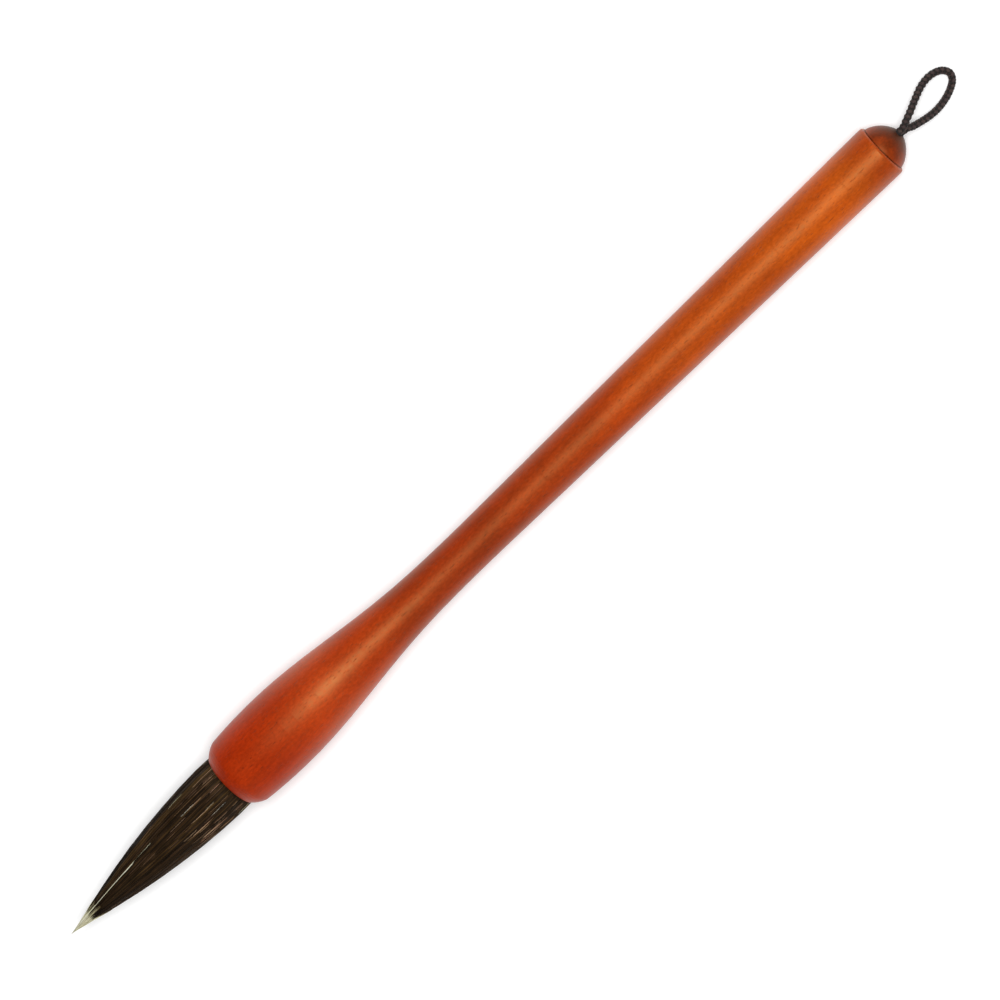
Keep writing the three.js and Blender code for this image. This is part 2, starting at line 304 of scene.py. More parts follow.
# %% Cord yarn
def cord_yarn():
    finish, tree, surface = new_finish("cord_yarn", Roughness=0.6, Sheen_Weight=0.12,
                                       Sheen_Roughness=0.5, Specular_IOR_Level=0.3)
    surface.inputs["Sheen Tint"].default_value = paint("C8B8B0")
    own = node(tree, "Attribute", {"attribute_name": "tone"}).outputs["Fac"]
    place = node(tree, "UVMap", {"uv_map": "yarn"}).outputs["UV"]
    fibres = noise(tree, node(tree, "Mapping", Vector=place, Scale=(1.2, 26, 1)).outputs["Vector"], 1.0, 3)
    # The upper half of the ramp is the lighter way of yarns, a painted highlight on the crossings. Within
    # each half the yarns differ in their own tone.
    tones = ramp(tree, own, [(0.0, "120C09"), (0.4, "1C1412"), (0.6, "3C2C2C"), (1.0, "4A3A34")])
    streaks = ramp(tree, fibres, [(0.3, "6A6A6A"), (0.7, "FFFFFF")])
    colour = blended(tree, "MULTIPLY", 0.6, tones, streaks)
    tree.links.new(colour, surface.inputs["Base Color"])
    raised(tree, surface, fibres, 0.06 * MM)
    return finish


yarn_finish = cord_yarn()

# %% [markdown]
# ## The hanging loop
#
# The cord comes out of the cap as two strands, one over the other. They part, make an eye and come down
# to the desk at the far end. Inside the cap both strands run on to a stopper knot. A smooth curve is
# drawn through the points of this route, at even steps.
#
# A plain tube would look like wire. A round braid has as many yarns turning one way as the other, and
# where two meet, one goes over and the other under. We wind four and four. The radius of a yarn waves as
# it goes, so that it is out where its partner is in.

# %% The route of the cord
LOOP_ROUTE = [  # from the point that the loop swings about: away from the cap, aside, up
    (0.2, 0.3, 1.12), (2.3, 1.1, 0.85), (4.4, 1.95, 0.2), (6.45, 2.95, -0.75), (8.4, 3.85, -1.9),
    (10.3, 4.65, -3.05), (12.3, 5.15, -4.2), (14.3, 5.2, -5.2), (16.2, 4.7, -6.0), (17.6, 3.75, -6.45),
    (18.35, 2.15, -6.62), (17.7, 0.5, -6.62), (16.1, -0.7, -6.6), (14.05, -1.6, -6.2),
    (12.0, -2.15, -5.5), (10.0, -2.42, -4.75), (8.0, -2.42, -3.95), (6.0, -2.15, -3.15),
    (4.0, -1.7, -2.4), (2.0, -1.15, -1.7), (0.2, -0.4, -1.12),
]
CORD_STEP = 0.12 * MM
STRAND_STEPS = 5  # of the straight stretch inside the cap
CURVE_STEPS = 40  # between two points of the route
swing = pivots["loop_swing"]


def inside_cap(node_name):
    """The middle line of a strand inside the cap, from its knot end out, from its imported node."""
    points = [to_brush @ vertex.co for vertex in frame["nodes"][node_name].data.vertices]
    low, high = min(p.x for p in points), max(p.x for p in points)
    level = np.mean([p.z for p in points])
    return [to_world @ Vector((low + (high - low) * i / STRAND_STEPS, 0, level))
            for i in range(STRAND_STEPS + 1)]


def even_steps(points, step):
    """A smooth curve through the points (Catmull-Rom), as points a step apart."""
    p = np.array([tuple(q) for q in points])
    p = np.vstack([2 * p[0] - p[1], p, 2 * p[-1] - p[-2]])
    t = np.linspace(0, 1, CURVE_STEPS, endpoint=False)[:, None]
    parts = []
    for a, b, c, d in zip(p, p[1:], p[2:], p[3:]):
        parts.append(0.5 * (2 * b + (c - a) * t + (2 * a - 5 * b + 4 * c - d) * t**2
                            + (3 * b - a - 3 * c + d) * t**3))
    dense = np.vstack([*parts, p[-2:-1]])
    run = np.append(0, np.cumsum(np.linalg.norm(np.diff(dense, axis=0), axis=1)))
    stops = np.linspace(0, run[-1], round(run[-1] / step) + 1)
    return np.column_stack([np.interp(stops, run, dense[:, i]) for i in range(3)]), stops


free_route = [swing + MM * Vector(p) for p in LOOP_ROUTE]
upper, lower = inside_cap("loop_end_upper"), inside_cap("loop_end_lower")
cord_line = [*upper[:-1], *free_route, *reversed(lower[:-1])]
line, run = even_steps(cord_line, CORD_STEP)
print(f"cord: {run[-1] / MM:.1f} mm from knot to knot, {len(line)} steps")

# %% The braid
YARNS_EACH_WAY = 4
BRAID_PITCH = 5.6 * MM
YARN_RADIUS_AT, YARN_WAVE = 0.64 * MM, 0.18 * MM
YARN_HALF_WIDTH, YARN_HALF_THICK = 0.42 * MM, 0.27 * MM
YARN_SIDES = 8
# One way of yarns is painted lighter than the other, as a painted highlight on the top of each crossing.
WAY_PAINTED_HIGHLIGHT, YARN_TONE = 0.3, 0.2  # how far the two ways, and the yarns of one way, differ in tone


def carried_frames(points):
    """Two directions across the line at each step, which don't spin as it bends."""
    ahead = np.gradient(points, axis=0)
    ahead /= np.linalg.norm(ahead, axis=1)[:, None]
    first = np.cross(ahead[0], (0, 1, 0))
    sides = [first / np.linalg.norm(first)]
    for direction in ahead[1:]:
        side = sides[-1] - direction * sides[-1].dot(direction)
        sides.append(side / np.linalg.norm(side))
    sides = np.array(sides)
    return sides, np.cross(ahead, sides)


def tube(middle, out, wide, half_thick, half_width, sides):
    """Points round an oval section at each step, and the faces that join them, with both ends closed."""
    turn = 2 * np.pi * np.arange(sides) / sides
    ring = (half_thick * np.cos(turn))[None, :, None] * out[:, None, :] \
        + (half_width * np.sin(turn))[None, :, None] * wide[:, None, :]
    points = (middle[:, None, :] + ring).reshape(-1, 3)
    faces = [(i * sides + j, i * sides + (j + 1) % sides, (i + 1) * sides + (j + 1) % sides,
              (i + 1) * sides + j) for i in range(len(middle) - 1) for j in range(sides)]
    last = len(points) - sides
    return points, [*faces, tuple(range(sides))[::-1], tuple(range(last, last + sides))]


def braid(name, points, run):
    """A round braid along a line, its yarns as one mesh with a UV map along them and a tone for each."""
    side, other = carried_frames(points)
    chance = np.random.default_rng(3)
    places, faces, tones, reach = [], [], [], []
    for way in (1, -1):
        for yarn in range(YARNS_EACH_WAY):
            turn = way * 2 * np.pi * run / BRAID_PITCH + yarn * 2 * np.pi / YARNS_EACH_WAY
            wave = way * np.cos(2 * YARNS_EACH_WAY * np.pi * run / BRAID_PITCH)
            out = np.cos(turn)[:, None] * side + np.sin(turn)[:, None] * other
            middle = points + (YARN_RADIUS_AT + YARN_WAVE * wave)[:, None] * out
            forward = np.gradient(middle, axis=0)
            wide = np.cross(forward, out)
            wide /= np.linalg.norm(wide, axis=1)[:, None]
            new, new_faces = tube(middle, out, wide, YARN_HALF_THICK, YARN_HALF_WIDTH, YARN_SIDES)
            offset = sum(len(p) for p in places)
            faces += [tuple(i + offset for i in face) for face in new_faces]
            places.append(new)
            # The lighter way of yarns carries the painted highlight of the crossings. The random part is each
            # yarn's own tone.
            tones += [0.5 + WAY_PAINTED_HIGHLIGHT * way + YARN_TONE * chance.uniform(-1, 1)] * len(new)
            reach += [(step / MM, j / YARN_SIDES) for step in run for j in range(YARN_SIDES)]
    mesh = bpy.data.meshes.new(name)
    mesh.from_pydata(np.vstack(places).tolist(), [], faces)
    mesh.attributes.new("tone", "FLOAT", "POINT").data.foreach_set("value", tones)
    unwrapped = mesh.uv_layers.new(name="yarn")
    for corner, vertex in enumerate(loop.vertex_index for loop in mesh.loops):
        unwrapped.data[corner].uv = reach[vertex]
    mesh.shade_smooth()
    piece = bpy.data.objects.new(name, mesh)
    bpy.context.scene.collection.objects.link(piece)
    return piece


loop_cord = braid("loop_cord", line, run)
pick(loop_cord)
bpy.ops.object.mode_set(mode="EDIT")
bpy.ops.mesh.select_all(action="SELECT")
bpy.ops.mesh.normals_make_consistent(inside=False)
bpy.ops.object.mode_set(mode="OBJECT")
loop_cord.data.materials.append(yarn_finish)
report(loop_cord)

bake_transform(loop_cord)
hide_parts("hanging_loop", "loop_end_upper", "loop_end_lower")

# %% [markdown]
# ## The handle
#
# A turner cuts the handle from one square of wood on a lathe. We do the same: the outline is drawn as a
# line of points from the socket round the lip and along the outside to the bore at the far end, and then
# it is spun about the axis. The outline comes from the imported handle, so the sizes stay the same.
#
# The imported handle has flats. A Subdivision Surface modifier makes the fine round surface, and rows of
# points close together keep the edges of the lip and of the cap end crisp.

# %% Turning on the lathe
FACETS = 64
FACING = 0.05  # how much a face must look outwards, or inwards, to count
NEARLY_NOTHING = 1e-6  # the radius of a ring that stands for a point, and of points to merge
SMOOTH_UNDER = math.radians(40)


def wall(node_name, way):
    """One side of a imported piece's wall as [station, radius] rows: the outside for 1, the inside for -1."""
    mesh = frame["nodes"][node_name].data
    rows = set()
    for face in mesh.polygons:
        middle = to_brush @ face.center
        away = Vector((0, middle.y, middle.z)).normalized()
        if way * (to_brush.to_3x3() @ face.normal).dot(away) > FACING:
            for i in face.vertices:
                p = to_brush @ mesh.vertices[i].co
                rows.add((round(p.x, 5), round(math.hypot(p.y, p.z), 5)))
    return np.array(sorted(rows))


def skin(node_name):
    return wall(node_name, 1)


def lining(node_name):
    return wall(node_name, -1)


def turned(outline, facets=FACETS, levels=1):
    """Spins an outline of (station, radius) points about X, and smooths it with a modifier."""
    bpy.ops.object.select_all(action="DESELECT")
    rings = [(x, max(radius, NEARLY_NOTHING)) for x, radius in outline]
    bpy.ops.mesh.primitive_circle_add(vertices=facets, radius=rings[0][1], location=(rings[0][0], 0, 0),
                                      rotation=(0, math.pi / 2, 0))
    piece = bpy.context.object
    bpy.ops.object.transform_apply(location=True, rotation=True)
    bpy.ops.object.mode_set(mode="EDIT")
    bpy.ops.mesh.select_mode(type="EDGE")
    bpy.ops.mesh.select_all(action="SELECT")
    for (x0, r0), (x1, r1) in zip(rings, rings[1:]):
        bpy.ops.mesh.extrude_region_move(TRANSFORM_OT_translate={"value": (x1 - x0, 0, 0)})
        bpy.ops.transform.resize(value=(1, r1 / r0, r1 / r0), center_override=(x1, 0, 0))
    bpy.ops.mesh.select_all(action="SELECT")
    bpy.ops.mesh.remove_doubles(threshold=2 * NEARLY_NOTHING)
    bpy.ops.mesh.select_all(action="SELECT")
    bpy.ops.mesh.normals_make_consistent(inside=False)
    bpy.ops.object.mode_set(mode="OBJECT")
    if levels:
        smooth = piece.modifiers.new("smooth", "SUBSURF")
        smooth.levels = smooth.render_levels = levels
        bpy.ops.object.modifier_apply(modifier=smooth.name)
    bpy.ops.object.shade_smooth_by_angle(angle=SMOOTH_UNDER)
    return piece


handle_skin = skin("handle")
handle_end = handle_skin[-1][0]
print("handle outline:", len(handle_skin), "rows, widest", handle_skin[:, 1].max() / MM, "mm")

# %% [markdown]
# ## Lacquered wood
#
# The handle is a close-grained hardwood under a thin red-brown satin lacquer. The wood shows through as
# soft clouds, faint long streaks, a speckle of fine flecks and small dark pores. The colour also changes
# along the handle: redder on the bulb, darkest at the slim waist, and more orange towards the cap.
#
# The lacquer is amber, so the light that it throws back from the wood under it is warm. We tint the
# surface's own reflection for that. Its gloss is weakest at the lip and strongest on the swell of the
# bulb, so the strength of the reflection changes along the handle.

# %% Lacquered wood
PORES = 0.66, 0.74  # the fine noise is a pore above the second value, and sound wood below the first


def lacquered_wood():
    finish, tree, surface = new_finish("lacquered_wood", Roughness=0.42, IOR=1.6,
                                       Specular_Tint=paint("FFC87E"))
    station = node(tree, "SeparateXYZ", Vector=brush_place(tree)).outputs["X"]
    share = ranged(tree, station, 0, handle_end / MM)
    colour = ramp(tree, share, [
        (0.07, "C83602"), (0.16, "D24202"), (0.29, "BE3802"), (0.38, "BE3602"), (0.49, "BF3B02"),
        (0.6, "C94502"), (0.7, "D15704"), (0.82, "CF5602"), (0.93, "DA6906"), (0.985, "C84C04")])
    gloss = ramp(tree, share, [(0.05, "888888"), (0.11, "B8B8B8"), (0.16, "E0E0E0"), (0.21, "C0C0C0"),
                               (1.0, "BCBCBC")])
    tree.links.new(gloss, surface.inputs["Specular IOR Level"])
    clouds = noise(tree, brush_place(tree, (0.35, 1, 1)), 0.16, 3, 0.6)
    streaks = noise(tree, brush_place(tree, (0.07, 1, 1)), 1.3, 3, 0.6)
    flecks = noise(tree, brush_place(tree, (0.6, 1, 1)), 1.5, 2, 0.7)
    pores = noise(tree, brush_place(tree, (0.16, 1, 1)), 3.4, 1)
    for strength, pattern, low, high in ((0.55, clouds, "585858", "A8A8A8"),
                                         (0.22, streaks, "505050", "B0B0B0"),
                                         (0.4, flecks, "505050", "B0B0B0")):
        shade = ramp(tree, pattern, [(0.3, low), (0.7, high)])
        colour = blended(tree, "OVERLAY", strength, colour, shade)
    pitted = ranged(tree, pores, *PORES, 0, 0.5)
    colour = blended(tree, "MULTIPLY", pitted, colour, paint("7A4030"))
    tree.links.new(colour, surface.inputs["Base Color"])
    tree.links.new(ranged(tree, flecks, 0.3, 0.7, 0.36, 0.48), surface.inputs["Roughness"])
    raised(tree, surface, ranged(tree, pores, *PORES, 1, 0), 0.03 * MM)
    return finish


handle_finish = lacquered_wood()

# %% The handle, from its socket round the outside to its bore
EDGE = 0.12 * MM  # how close the extra rows stand to a corner that should stay crisp
EDGE_SHARE = 0.45  # and at most this share of the stretch that they stand on
CORNER = math.radians(35)


def crisp(outline):
    """The outline with a point just before and just after each corner."""
    points = [np.array(p, float) for p in outline]
    kept = [points[0]]
    for before, corner, after in zip(points, points[1:], points[2:]):
        back, on = before - corner, after - corner
        back_length, on_length = np.linalg.norm(back), np.linalg.norm(on)
        bend = math.pi - math.acos(np.clip(back @ on / back_length / on_length, -1, 1))
        if bend > CORNER:
            kept += [corner + back * min(EDGE_SHARE, EDGE / back_length), corner,
                     corner + on * min(EDGE_SHARE, EDGE / on_length)]
        else:
            kept.append(corner)
    return [tuple(p) for p in [*kept, points[-1]]]


LIP_BACK = 0.6 * MM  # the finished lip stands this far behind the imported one
LIP_REACH = 7 * MM


def eased(station):
    """A station of the outline, moved back near the mouth as the lip was when it was sanded round."""
    return station + LIP_BACK * max(0, 1 - station / LIP_REACH)


walls = lining("handle")
in_socket = walls[:, 0] < handle_end / 2
socket_floor, socket_radius = walls[in_socket][-1]
bore_floor, bore_radius = walls[~in_socket][0]
handle_outline = [(socket_floor, 0), (socket_floor, socket_radius), (LIP_BACK, socket_radius),
                  *((eased(station), radius) for station, radius in handle_skin),
                  (handle_end, bore_radius), (bore_floor, bore_radius), (bore_floor, 0)]
handle = set_down(turned(crisp(handle_outline)), "handle_wood", handle_finish)
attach(handle, "handle")
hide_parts("handle")
report(handle)

# %% [markdown]
# ## The end cap
#
# The cap is a low dome of darker wood on a tenon that is glued in the bore. The cord comes out of the
# hole in its top, which is drawn in to an upright slot for the two strands. It is turned the same way, and
# its finish is the same lacquer on a darker wood. Towards the hole it is painted darker, almost black: this
# is painted shade on the top of the dome, which faces away from the light, and partly darker end grain.

# %% Dark wood
DARKENS_OVER = 6  # millimetres up from the rim


def dark_wood():
    finish, tree, surface = new_finish("dark_wood", Roughness=0.46, Coat_Weight=0.03, Coat_Roughness=0.3,
                                       Specular_IOR_Level=0.6, Specular_Tint=paint("FFB070"))
    station = node(tree, "SeparateXYZ", Vector=brush_place(tree)).outputs["X"]
    # The colour darkens from the rim up to the hole: painted shade on the top of the dome, which faces away
    # from the light, with partly darker end grain. The dark first stop is the seam.
    height = ramp(tree, ranged(tree, station, handle_end / MM, handle_end / MM + DARKENS_OVER), [
        (0.0, "3A1002"), (0.06, "A43804"), (0.35, "943002"), (0.7, "6A2002"), (1.0, "300E02")])
    clouds = noise(tree, brush_place(tree, (0.6, 1, 1)), 0.35, 3, 0.6)
    flecks = noise(tree, brush_place(tree, (0.5, 1, 1)), 2.1, 2, 0.7)
    cloudy = ramp(tree, clouds, [(0.3, "4A4A4A"), (0.7, "B4B4B4")])
    flecked = ramp(tree, flecks, [(0.3, "484848"), (0.7, "B8B8B8")])
    colour = blended(tree, "OVERLAY", 0.45, blended(tree, "OVERLAY", 0.6, height, cloudy), flecked)
    tree.links.new(colour, surface.inputs["Base Color"])
    tree.links.new(ranged(tree, flecks, 0.3, 0.7, 0.38, 0.52), surface.inputs["Roughness"])
    raised(tree, surface, flecks, 0.03 * MM)
    return finish


cap_finish = dark_wood()

# %% The dome, and the slot for the cord in its top
DOME_HEIGHT = 6.3 * MM
DOME_SHOULDER, DOME_SIDE = 1.5, 0.6  # powers of the dome's outline
DOME_ROWS = 22
DOME_RIM = 0.999  # the share of the cap's radius at which the dome's first row stands
SEAM = 0.1 * MM
SLOT_FROM = 2 * MM  # the dome is drawn in above this height
SLOT_EASE = 1.3 * MM  # how far round the slot the dome is drawn in to it
SLOT_DEEP = 1 * MM  # how far down the hole the slot turns round again
SLOT_NARROW = 0.5
HOLE_ROW = 4 * MM  # a row of the hole, from its lower end, that keeps the rest of it round

cap_skin, cap_walls = skin("end_cap"), lining("end_cap")
tenon_end, hole_radius = cap_walls[0]
tenon_radius = cap_skin[cap_skin[:, 0] < handle_end][0][1]
cap_radius = cap_skin[:, 1].max()
cap_base = handle_end + SEAM


def dome_at(radius):
    """The station of the dome's surface at a radius."""
    return cap_base + DOME_HEIGHT * (1 - (radius / cap_radius)**(1 / DOME_SIDE))**(1 / DOME_SHOULDER)


def drawn_in(piece):
    """Narrows the round hole to an upright slot that fits the two strands, one over the other."""
    for vertex in piece.data.vertices:
        x, y, z = vertex.co
        radius = math.hypot(y, z)
        on_dome = x > cap_base + SLOT_FROM and radius > hole_radius
        if on_dome or radius < hole_radius + EDGE:
            down = dome_at(hole_radius) - x
            ease = min(1, max(0, (radius - hole_radius) / SLOT_EASE if on_dome else down / SLOT_DEEP))
            y *= SLOT_NARROW + (1 - SLOT_NARROW) * ease**2 * (3 - 2 * ease)
            risen = dome_at(math.hypot(y, z)) - dome_at(radius) if down < SLOT_DEEP else 0
            vertex.co = (x + risen, y, z)


dome_radii = cap_radius * np.linspace(DOME_RIM, hole_radius / cap_radius, DOME_ROWS)
dome = [(dome_at(radius), radius) for radius in dome_radii]
cap_outline = [(tenon_end, hole_radius), (tenon_end, tenon_radius), (cap_base, tenon_radius),
               (cap_base, cap_radius), *dome, (tenon_end + HOLE_ROW, hole_radius),
               (tenon_end, hole_radius)]
cap = turned(crisp(cap_outline))
drawn_in(cap)
set_down(cap, "end_cap_wood", cap_finish)
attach(cap, "handle")
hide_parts("end_cap")
report(cap)

# %% [markdown]
# ## Hair
#
# The tuft is laid up in layers. Life hair in the middle is long and pale and makes the point. Shorter
# core hair round it holds the ink, and a coat of smooth dark hair is wrapped round it all and ends a few
# millimetres before the point.
#
# A grooved body alone looks like carved wood, and loose hair alone shows holes. So we use both: a dark
# body of each layer, and over it thousands of single hairs. Each has three sides and eight short lengths.
# They are laid along the outline of the tuft, a little deeper or prouder than each other, so that they
# come up and dive under their neighbours as combed hair does.

# %% Hair finishes
def hair_finish(name, tones, roughness=0.42):
    """Hair whose colour follows each hair's own tone, lightly streaked along its length."""
    finish, tree, surface = new_finish(name, Roughness=roughness, Specular_IOR_Level=0.2,
                                       Specular_Tint=paint("E8C8A0"))
    own = node(tree, "Attribute", {"attribute_name": "tone"}).outputs["Fac"]
    mottle = noise(tree, brush_place(tree, (0.12, 1, 1)), 1.1, 2)
    shade = ramp(tree, mottle, [(0.3, "404040"), (0.7, "C0C0C0")])
    colour = blended(tree, "OVERLAY", 0.6, ramp(tree, own, tones), shade)
    tree.links.new(colour, surface.inputs["Base Color"])
    tree.links.new(ranged(tree, mottle, 0.3, 0.7, roughness - 0.06, roughness + 0.08),
                   surface.inputs["Roughness"])
    return finish


dark_hair = hair_finish("dark_hair", [(0.1, "0C0704"), (0.4, "20160E"), (0.6, "322214"), (0.9, "564020")])
brown_hair = hair_finish("brown_hair", [(0.1, "2C1E16"), (0.5, "4E3824"), (0.9, "7A5C3E")])
tan_hair = hair_finish("tan_hair", [(0.1, "4E3A2C"), (0.5, "735642"), (0.9, "A07E64")])
gold_hair = hair_finish("gold_hair", [(0.1, "8A6850"), (0.5, "BC9874"), (0.9, "E4C4A0")])
pale_hair = hair_finish("pale_hair", [(0, "54401F"), (0.12, "A89E78"), (0.3, "D4D1B4"), (0.9, "FAF9ED")],
                        roughness=0.5)
print("hair finishes: dark, brown, tan, gold and pale")

# %% The outline of the tuft
TUFT_POINT = 1.06  # 0.5 would be an ellipse, and more is slimmer towards the point
IN_MOUTH = 0.04 * MM  # the coat hair's clearance to the wood inside the mouth
HELD_OVER = 0.8 * MM  # the hair narrows into the mouth over this length

tuft_length = -skin("life_hair")[0][0]
tuft_swell = skin("coat_root")[:, 1].max()
coat_length = -skin("coat_hair")[0][0]


def tuft_radius(out):
    """The radius of the tuft at a distance in front of the mouth. It narrows where it enters the wood."""
    share = np.clip(np.asarray(out, float) / tuft_length, 0, 1)
    free = tuft_swell * (1 - share**2)**TUFT_POINT
    held = np.clip((HELD_OVER - LIP_BACK - out) / HELD_OVER, 0, 1)
    return free - (free - socket_radius + IN_MOUTH) * held**2 * (3 - 2 * held)


def flexes(piece):
    """Bakes the piece's place into its mesh, and leaves its object at the origin."""
    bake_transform(piece)


print(f"tuft {tuft_length / MM:.1f} mm long, {2 * tuft_swell / MM:.1f} mm across, "
      f"coat hair {coat_length / MM:.1f} mm long")

# %% The bodies of the layers
COMB_TWIST = 0.2  # how far the grooves turn, in radians for each millimetre
CORE_GROOVE, CORE_STRANDS = 0.06 * MM, 60
BODY_LEVELS = 2


def combed(piece, seed, depth, strands):
    """Presses fine grooves along a body of hair, and gives its points a tone that follows them: darker in the
    grooves, as painted shade, and lighter on the ridges.
    """
    places = np.array([to_brush @ v.co for v in piece.data.vertices])
    angle = np.arctan2(places[:, 2], places[:, 1])
    chance = np.random.default_rng(seed)
    height = np.zeros(len(angle))
    for waves in (strands, strands * 1.7, strands * 0.37):
        height += np.sin(round(waves) * angle + chance.uniform(0, 6.28) + COMB_TWIST * places[:, 0] / MM)
    radius = np.hypot(places[:, 1], places[:, 2])
    share = 1 + depth * height / 3 / np.maximum(radius, 0.4 * MM)
    for vertex, place, scale in zip(piece.data.vertices, places, share):
        vertex.co = to_world @ Vector((place[0], place[1] * scale, place[2] * scale))
    # The tone follows the grooves: painted shade in the grooves, and lighter on the ridges between them.
    tone = 0.5 + height / 6
    piece.data.attributes.new("tone", "FLOAT", "POINT").data.foreach_set("value", tone.clip(0, 1))


def layer_body(node_name, finish, seed, cut_at=None):
    """A finer, combed copy of a packed layer of hair, cut off in front of a station where one is given."""
    packed = frame["nodes"][node_name]
    piece = bpy.data.objects.new(node_name + "_body", packed.data.copy())
    bpy.context.scene.collection.objects.link(piece)
    pick(piece)
    bpy.ops.object.mode_set(mode="EDIT")
    bpy.ops.mesh.select_all(action="SELECT")
    bpy.ops.mesh.remove_doubles(threshold=NEARLY_NOTHING)
    bpy.ops.object.mode_set(mode="OBJECT")
    smooth = piece.modifiers.new("smooth", "SUBSURF")
    smooth.levels = smooth.render_levels = BODY_LEVELS
    bpy.ops.object.modifier_apply(modifier=smooth.name)
    if cut_at is not None:
        bpy.ops.object.mode_set(mode="EDIT")
        bpy.ops.mesh.select_all(action="SELECT")
        bpy.ops.mesh.bisect(plane_co=on_axis(cut_at), plane_no=along, clear_inner=True, use_fill=True)
        bpy.ops.object.mode_set(mode="OBJECT")
    piece.data.shade_smooth()
    piece.data.materials.clear()
    piece.data.materials.append(finish)
    combed(piece, seed, CORE_GROOVE, CORE_STRANDS)
    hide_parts(node_name)
    report(piece)
    return piece


for seed, name in enumerate(("throat_hair", "belly_hair", "waist_hair")):
    flexes(layer_body(name, brown_hair, seed))
roots = {"core_root": (brown_hair, "core_hair", -8 * MM),
         "coat_root": (dark_hair, "coat_hair", 0.8 * MM)}
for seed, (name, (finish, slot, cut_at)) in enumerate(roots.items(), start=3):
    root = layer_body(name, finish, seed, cut_at)
    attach(root, "handle")

# %% The coat's body and the life hair
COAT_UNDER = 0.2 * MM  # the coat's body lies this far under the hairs on it
COAT_FALLS = 12 * MM  # over its last stretch the body falls away under the hairs
COAT_FALLS_TO = 0.5
COAT_FROM = 1.5 * MM  # behind the mouth
COAT_SHORT, COAT_BLUNT = 3 * MM, 1 * MM  # it ends short of the hairs, in a blunt point
LIFE_RADIUS = 1.6 * MM
LIFE_UNDER = 0.78  # the life hair's body keeps to this share of the tuft's outline
LIFE_TAPERS = 14 * MM  # from this far behind the end of the coat


def coat_body_radius(out):
    fall = max(0, (out - coat_length + COAT_FALLS) / COAT_FALLS)
    return (float(tuft_radius(out)) - COAT_UNDER) * (1 - COAT_FALLS_TO * fall**2)


coat_outs = np.linspace(-COAT_FROM, coat_length - COAT_SHORT - COAT_BLUNT, 60)
coat_outline = [(COAT_FROM, 0), *[(-out, coat_body_radius(out)) for out in coat_outs],
                (-coat_length + COAT_SHORT, 0)]
coat = set_down(turned(coat_outline, facets=240, levels=0), "coat_hair_body", dark_hair)
combed(coat, seed=11, depth=0.09 * MM, strands=90)
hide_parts("coat_hair")
flexes(coat)
report(coat)

life_from = -skin("life_hair")[-1][0]
life_outs = np.linspace(coat_length - LIFE_TAPERS, tuft_length, 40)
life_outline = [(-life_from, 0), (-life_from, LIFE_RADIUS), (-life_outs[0] + MM, LIFE_RADIUS),
                *[(-out, min(LIFE_RADIUS, LIFE_UNDER * float(tuft_radius(out)))) for out in life_outs[1:-1]],
                (-tuft_length, 0)]
life = set_down(turned(life_outline, facets=60, levels=0), "life_hair_body", pale_hair)
combed(life, seed=12, depth=0.07 * MM, strands=24)
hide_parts("life_hair")
flexes(life)
report(life)

# %% One hair
HAIR_LENGTHS = 8  # short lengths that let it follow the outline


def one_hair():
    """A hair from x = 0 to 1, three-sided, with a radius of 1, cut into short lengths."""
    bpy.ops.object.select_all(action="DESELECT")
    bpy.ops.mesh.primitive_cylinder_add(vertices=3, radius=1, depth=1, location=(0.5, 0, 0),
                                        rotation=(0, math.pi / 2, 0))
    hair = bpy.context.object
    bpy.ops.object.transform_apply(location=True, rotation=True)
    bpy.ops.object.mode_set(mode="EDIT")
    for cut in range(1, HAIR_LENGTHS):
        bpy.ops.mesh.select_all(action="SELECT")
        bpy.ops.mesh.bisect(plane_co=(cut / HAIR_LENGTHS, 0, 0), plane_no=(1, 0, 0))
    bpy.ops.object.mode_set(mode="OBJECT")
    points = np.array([v.co for v in hair.data.vertices])
    faces = [tuple(face.vertices) for face in hair.data.polygons]
    bpy.data.objects.remove(hair)
    return points, faces


hair_points, hair_faces = one_hair()
print("one hair:", len(hair_points), "points,", len(hair_faces), "faces")

# %% Laying hair on the tuft
ROOT = -2.5 * MM  # hairs start this far inside the mouth
LOCKS, BROAD_LOCKS = 150, 30
LEAN = 0.012  # how far round the tuft a hair strays from its own angle, in radians
RISE = 0.05 * MM  # how far its waves lift it
DIVE = 0.3 * MM  # how deep a hair that shows for a stretch lies elsewhere
AXIS_ROOM = 0.02 * MM  # no hair comes nearer to the axis than this


def lock_tones(angles, chance):
    """A tone for each hair. Hairs lie in locks, and those of one lock are alike."""
    fine, broad = chance.uniform(0, 1, LOCKS), chance.uniform(0, 1, BROAD_LOCKS)
    share = angles / (2 * np.pi) % 1
    tone = 0.55 * fine[(share * LOCKS).astype(int)] + 0.2 * broad[(share * BROAD_LOCKS).astype(int)]
    return tone + 0.25 * chance.uniform(0, 1, len(angles))


